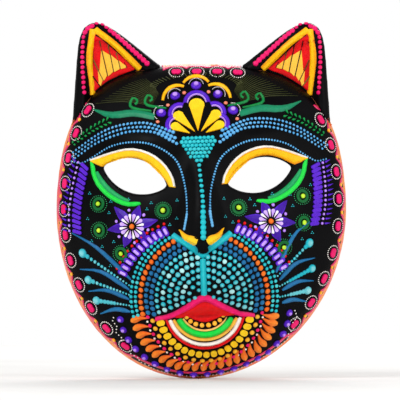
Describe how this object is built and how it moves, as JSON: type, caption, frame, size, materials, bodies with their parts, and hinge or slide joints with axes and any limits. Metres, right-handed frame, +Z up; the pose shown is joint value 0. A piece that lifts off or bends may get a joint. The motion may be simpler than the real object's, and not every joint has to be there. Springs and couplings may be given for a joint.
{
  "type": "painted folk art mask",
  "caption": "Hollow wall mask shaped as a cat's face with pointed ears and open eyes, painted all over with raised dots and strokes.",
  "frame": {"origin": "on the back rim's plane, on the centre line, 9.5 mm below the widest line", "axes": "+Z up through the crown, the face looks along -Y, +Y points into the wall, +X is on the right as seen from the front"},
  "size_m": [0.195, 0.0737, 0.2401],
  "materials": {
    "face_shell": "low-fired clay, painted satin black and varnished",
    "ear_left": "low-fired clay, painted satin black and varnished",
    "ear_right": "low-fired clay, painted satin black and varnished",
    "rim_band": "thick acrylic paint, varnished",
    "rim_crest_beads": "thick acrylic paint, varnished",
    "medallion_hearts": "thick acrylic paint, varnished",
    "medallion_rings": "thick acrylic paint, varnished",
    "ear_beads": "thick acrylic paint, varnished",
    "ear_bands": "thick acrylic paint, varnished",
    "ear_fields": "thick acrylic paint, varnished",
    "ear_rays": "thick acrylic paint, varnished",
    "palmette_petals": "thick acrylic paint, varnished",
    "palmette_scallops": "thick acrylic paint, varnished",
    "scallop_lines": "thick acrylic paint, varnished",
    "palmette_beads": "thick acrylic paint, varnished",
    "palmette_arcs": "thick acrylic paint, varnished",
    "coral_beads": "thick acrylic paint, varnished",
    "brow_leaves": "thick acrylic paint, varnished",
    "brow_curls": "thick acrylic paint, varnished",
    "lashes": "thick acrylic paint, varnished",
    "sprigs": "thick acrylic paint, varnished",
    "brow_beads_left": "thick acrylic paint, varnished",
    "brow_beads_right": "thick acrylic paint, varnished",
    "eye_outline_beads": "thick acrylic paint, varnished",
    "upper_lids": "thick acrylic paint, varnished",
    "lid_edges": "thick acrylic paint, varnished",
    "lower_lids": "thick acrylic paint, varnished",
    "nose_cluster": "thick acrylic paint, varnished",
    "nose_line": "thick acrylic paint, varnished",
    "nostril_petals": "thick acrylic paint, varnished",
    "muzzle_line": "thick acrylic paint, varnished",
    "rosette_rings": "thick acrylic paint, varnished",
    "rosette_cores": "thick acrylic paint, varnished",
    "star_petals": "thick acrylic paint, varnished",
    "flower_petals": "thick acrylic paint, varnished",
    "flower_hearts": "thick acrylic paint, varnished",
    "flower_beads": "thick acrylic paint, varnished",
    "cheek_dots": "thick acrylic paint, varnished",
    "feathers": "thick acrylic paint, varnished",
    "feather_beads": "thick acrylic paint, varnished",
    "muzzle_dashes": "thick acrylic paint, varnished",
    "muzzle_red_dots": "thick acrylic paint, varnished",
    "muzzle_edge_beads": "thick acrylic paint, varnished",
    "muzzle_orange_beads": "thick acrylic paint, varnished",
    "muzzle_blue_beads": "thick acrylic paint, varnished",
    "muzzle_turquoise_beads": "thick acrylic paint, varnished",
    "whisker_strokes": "thick acrylic paint, varnished",
    "whisker_beads": "thick acrylic paint, varnished",
    "lip_line": "thick acrylic paint, varnished",
    "mouth_fill": "thick acrylic paint, varnished",
    "mouth_beads": "thick acrylic paint, varnished",
    "chin_green_arc": "thick acrylic paint, varnished",
    "chin_arcs": "thick acrylic paint, varnished",
    "chin_petals": "thick acrylic paint, varnished",
    "chin_gold_beads": "thick acrylic paint, varnished",
    "chin_magenta_beads": "thick acrylic paint, varnished",
    "teardrops": "thick acrylic paint, varnished",
    "violet_chin_beads": "thick acrylic paint, varnished",
    "lilac_cores": "thick acrylic paint, varnished",
    "chin_dotted_line": "thick acrylic paint, varnished"
  },
  "bodies": {
    "root": {"face_shell": "face_shell", "ear_left": "ear_left", "ear_right": "ear_right", "rim_band": "rim_band", "rim_crest_beads": "rim_crest_beads", "medallion_hearts": "medallion_hearts", "medallion_rings": "medallion_rings", "ear_beads": "ear_beads", "ear_bands": "ear_bands", "ear_fields": "ear_fields", "ear_rays": "ear_rays", "palmette_petals": "palmette_petals", "palmette_scallops": "palmette_scallops", "scallop_lines": "scallop_lines", "palmette_beads": "palmette_beads", "palmette_arcs": "palmette_arcs", "coral_beads": "coral_beads", "brow_leaves": "brow_leaves", "brow_curls": "brow_curls", "lashes": "lashes", "sprigs": "sprigs", "brow_beads_left": "brow_beads_left", "brow_beads_right": "brow_beads_right", "eye_outline_beads": "eye_outline_beads", "upper_lids": "upper_lids", "lid_edges": "lid_edges", "lower_lids": "lower_lids", "nose_cluster": "nose_cluster", "nose_line": "nose_line", "nostril_petals": "nostril_petals", "muzzle_line": "muzzle_line", "rosette_rings": "rosette_rings", "rosette_cores": "rosette_cores", "star_petals": "star_petals", "flower_petals": "flower_petals", "flower_hearts": "flower_hearts", "flower_beads": "flower_beads", "cheek_dots": "cheek_dots", "feathers": "feathers", "feather_beads": "feather_beads", "muzzle_dashes": "muzzle_dashes", "muzzle_red_dots": "muzzle_red_dots", "muzzle_edge_beads": "muzzle_edge_beads", "muzzle_orange_beads": "muzzle_orange_beads", "muzzle_blue_beads": "muzzle_blue_beads", "muzzle_turquoise_beads": "muzzle_turquoise_beads", "whisker_strokes": "whisker_strokes", "whisker_beads": "whisker_beads", "lip_line": "lip_line", "mouth_fill": "mouth_fill", "mouth_beads": "mouth_beads", "chin_green_arc": "chin_green_arc", "chin_arcs": "chin_arcs", "chin_petals": "chin_petals", "chin_gold_beads": "chin_gold_beads", "chin_magenta_beads": "chin_magenta_beads", "teardrops": "teardrops", "violet_chin_beads": "violet_chin_beads", "lilac_cores": "lilac_cores", "chin_dotted_line": "chin_dotted_line"}
  },
  "joints": []
}
